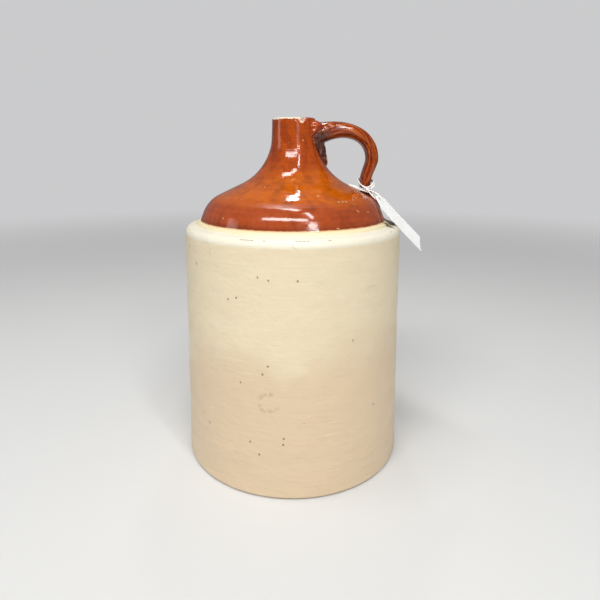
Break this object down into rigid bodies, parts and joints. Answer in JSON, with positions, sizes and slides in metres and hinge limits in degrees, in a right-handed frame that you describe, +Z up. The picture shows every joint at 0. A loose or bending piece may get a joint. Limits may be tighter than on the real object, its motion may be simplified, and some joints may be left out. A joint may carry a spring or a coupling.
{
  "type": "stoneware jug",
  "caption": "Large shouldered stoneware jug with a ledge, a brown glazed dome and neck, a strap handle and a blank paper tag on a string.",
  "frame": {"origin": "centre of the base on the surface that the jug stands on", "axes": "+Z up along the jug's axis, +X towards the handle, the string and tag lie on the -Y side of the handle"},
  "size_m": [0.3253, 0.292, 0.455],
  "materials": {
    "cream_glaze": "gloss, cream white slip glaze with pinholes",
    "brown_glaze": "gloss, amber to reddish brown slip glaze",
    "bare_clay": "matte, unglazed underside",
    "string": "matte, twisted cotton",
    "paper": "matte, light card"
  },
  "bodies": {
    "jug": {"base_slab": "bare_clay", "body_wall": "cream_glaze", "luting_fillet": "cream_glaze", "shoulder_dome": "brown_glaze", "neck_collar": "brown_glaze", "handle_strap": "brown_glaze", "neck_wad": "brown_glaze", "foot_wad": "brown_glaze", "tie_string": "string", "string_knot": "string"},
    "tag": {"tag_loop": "string", "paper_tag": "paper", "hole_patches": "paper"}
  },
  "joints": [
    {"name": "tag_swing", "type": "hinge", "parent": "jug", "child": "tag", "pos_m": [0.101, -0.017, 0.35855], "axis": [0, -1, 0], "range_deg": [0, 80]}
  ]
}
